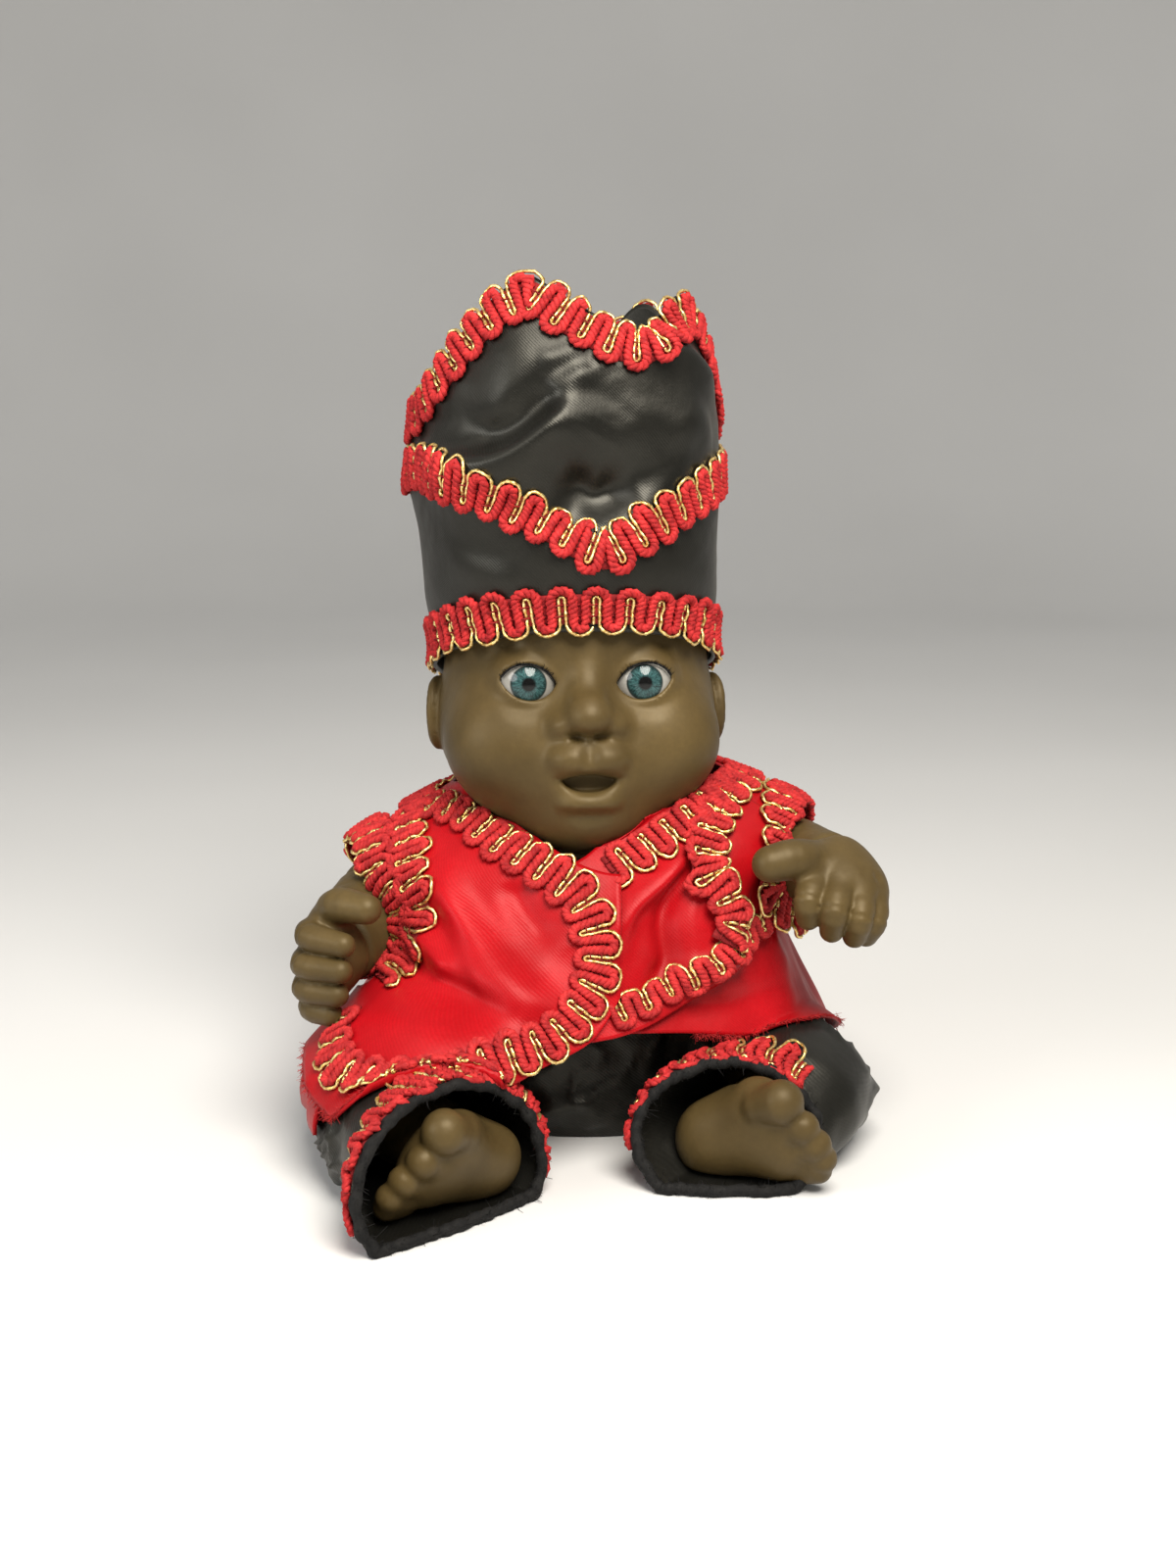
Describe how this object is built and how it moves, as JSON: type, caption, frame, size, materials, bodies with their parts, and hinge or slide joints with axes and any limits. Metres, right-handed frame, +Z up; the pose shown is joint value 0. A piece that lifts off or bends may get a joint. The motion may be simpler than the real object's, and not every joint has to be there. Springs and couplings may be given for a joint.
{
  "type": "seated orisha doll",
  "caption": "Seated dark vinyl baby doll dressed as an orisha, in a tall open black satin hat, a red satin vest and black satin trousers edged with red and gold gimp braid.",
  "frame": {"origin": "centre of the flat underside of the trousers' seat", "axes": "+Z up, -Y the way the doll faces, +X towards the doll's own left hand"},
  "size_m": [0.1251, 0.1348, 0.1837],
  "materials": {
    "vinyl": "satin dark brown vinyl",
    "eye": "polished",
    "black_satin": "black satin",
    "red_satin": "red satin",
    "braid": "red gimp braid with a gold thread"
  },
  "bodies": {
    "root": {"head": "vinyl", "right_eye": "eye", "left_eye": "eye", "torso": "vinyl", "right_arm": "vinyl", "left_arm": "vinyl", "right_leg": "vinyl", "left_leg": "vinyl", "hat": "black_satin", "trousers": "black_satin", "vest": "red_satin", "hat_brim_trim": "braid", "hat_front_trim": "braid", "hat_crown_trim": "braid", "vest_edge_trim": "braid", "vest_under_trim": "braid", "vest_slant_trim": "braid", "right_armhole_trim": "braid", "left_armhole_trim": "braid", "right_cuff_trim": "braid", "left_cuff_trim": "braid"}
  },
  "joints": []
}
